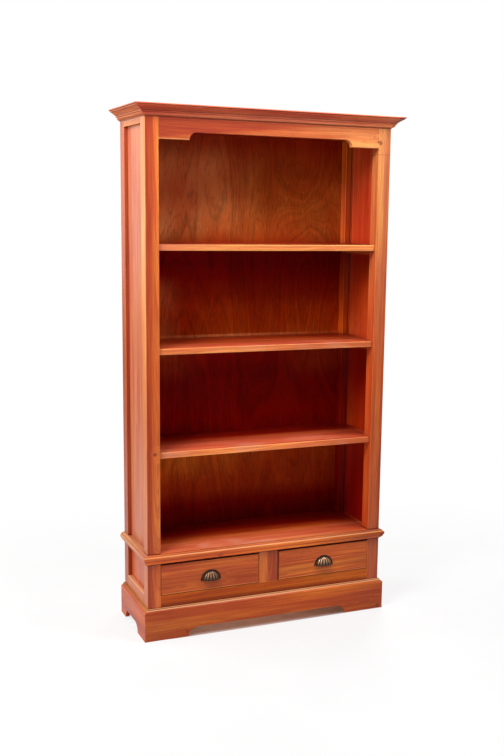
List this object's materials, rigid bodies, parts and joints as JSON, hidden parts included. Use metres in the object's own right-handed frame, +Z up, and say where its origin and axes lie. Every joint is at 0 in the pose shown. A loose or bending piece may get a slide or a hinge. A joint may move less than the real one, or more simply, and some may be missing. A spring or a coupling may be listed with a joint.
{
  "type": "bookcase with bottom drawers",
  "caption": "Tall open bookcase in red-brown wood: framed side panels, stepped cornice, shelves, side-by-side inset drawers with cup pulls and a bracket-foot plinth.",
  "frame": {"origin": "on the floor, at the middle of the overall footprint (the crown's overhang included)", "axes": "+Z up, +X to the right seen from the front, +Y to the back; the drawers open towards -Y"},
  "size_m": [1.088, 0.382, 2.018],
  "materials": {
    "case_wood": "satin lacquer over a red-brown stain, fine straight grain",
    "front_wood": "satin lacquer over a red-brown stain, streaked grain lying across",
    "back_plywood": "thin satin lacquer on stained veneer with flame grain",
    "box_wood": "sanded, unstained",
    "pull_metal": "cast, dark antique patina rubbed bright on the ribs",
    "steel": "zinc plated"
  },
  "bodies": {
    "case": {"back_panel": "back_plywood", "back_panel_nails": "steel", "back_rail_lower": "case_wood", "back_rail_top": "case_wood", "corner_blocks": "box_wood", "crown_front": "case_wood", "crown_left": "case_wood", "crown_right": "case_wood", "deck": "case_wood", "drawer_rail_lower": "case_wood", "drawer_rail_upper": "case_wood", "dust_panel": "box_wood", "kicker_centre": "box_wood", "kickers_outer": "box_wood", "muntin": "case_wood", "plinth_front": "case_wood", "plinth_left": "case_wood", "plinth_right": "case_wood", "post_front_left": "case_wood", "post_front_right": "case_wood", "post_rear_left": "case_wood", "post_rear_right": "case_wood", "runner_centre": "box_wood", "runner_left": "box_wood", "runner_right": "box_wood", "shelf_cleats": "box_wood", "shelf_lower": "case_wood", "shelf_middle": "case_wood", "shelf_upper": "case_wood", "side_panel_lower_left": "case_wood", "side_panel_lower_right": "case_wood", "side_panel_upper_left": "case_wood", "side_panel_upper_right": "case_wood", "side_rail_bottom_left": "case_wood", "side_rail_bottom_right": "case_wood", "side_rail_middle_left": "case_wood", "side_rail_middle_right": "case_wood", "side_rail_top_left": "case_wood", "side_rail_top_right": "case_wood", "top_board": "case_wood", "top_rail_front": "case_wood", "waist_front": "case_wood", "waist_left": "case_wood", "waist_right": "case_wood"},
    "drawer_left": {"drawer_left_back": "box_wood", "drawer_left_bottom": "box_wood", "drawer_left_front": "front_wood", "drawer_left_pull": "pull_metal", "drawer_left_pull_screws": "steel", "drawer_left_side_inner": "box_wood", "drawer_left_side_outer": "box_wood", "drawer_left_stop": "box_wood"},
    "drawer_right": {"drawer_right_back": "box_wood", "drawer_right_bottom": "box_wood", "drawer_right_front": "front_wood", "drawer_right_pull": "pull_metal", "drawer_right_pull_screws": "steel", "drawer_right_side_inner": "box_wood", "drawer_right_side_outer": "box_wood", "drawer_right_stop": "box_wood"}
  },
  "joints": [
    {"name": "drawer_left_slide", "type": "slide", "parent": "case", "child": "drawer_left", "axis": [0, -1, 0], "range_m": [0, 0.24]},
    {"name": "drawer_right_slide", "type": "slide", "parent": "case", "child": "drawer_right", "axis": [0, -1, 0], "range_m": [0, 0.24]}
  ]
}
